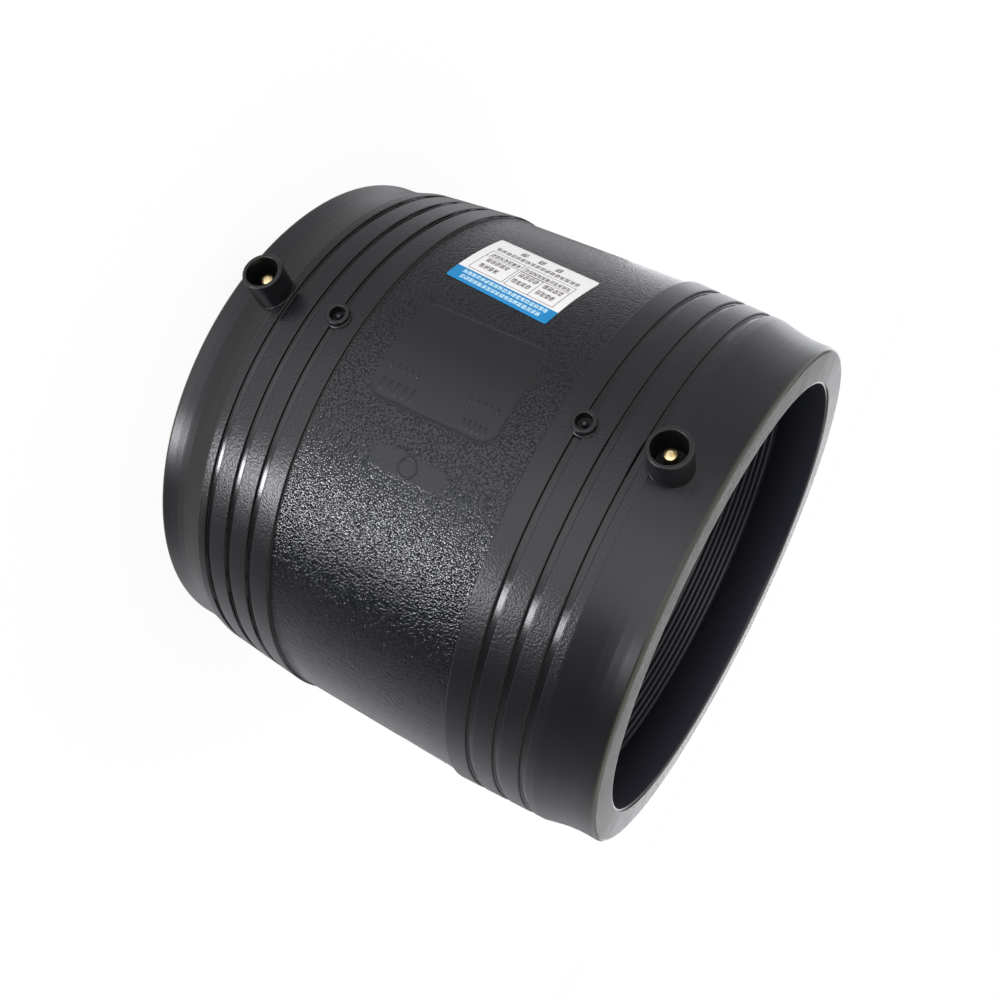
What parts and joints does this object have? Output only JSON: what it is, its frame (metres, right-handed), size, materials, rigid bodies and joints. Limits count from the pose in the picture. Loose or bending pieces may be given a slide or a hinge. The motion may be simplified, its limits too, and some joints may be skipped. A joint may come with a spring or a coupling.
{
  "type": "electrofusion coupler",
  "caption": "Short black plastic sleeve that welds two pipe ends together, with grooved collars, a heating winding in its bore, and shrouded terminals and melt indicators along one side.",
  "frame": {"origin": "centre of the lower end face, on the pipe axis", "axes": "+Z along the pipe axis, up through the bore; -Y toward the terminals, which both face -Y"},
  "size_m": [0.196, 0.2043, 0.176],
  "materials": {
    "coupler_body": "moulded black polyethylene, sparked texture on the barrel, smooth collars",
    "heating_winding": "black coated wire wound close, ridged",
    "terminal_pin": "turned brass",
    "indicator_pin": "moulded black polyethylene",
    "label": "printed film, white with a blue band and plain light and dark bars"
  },
  "bodies": {
    "root": {"coupler_body": "coupler_body", "heating_winding": "heating_winding", "terminal_pin_lower": "terminal_pin", "terminal_pin_upper": "terminal_pin", "indicator_pin_lower": "indicator_pin", "indicator_pin_upper": "indicator_pin", "label": "label"}
  },
  "joints": []
}
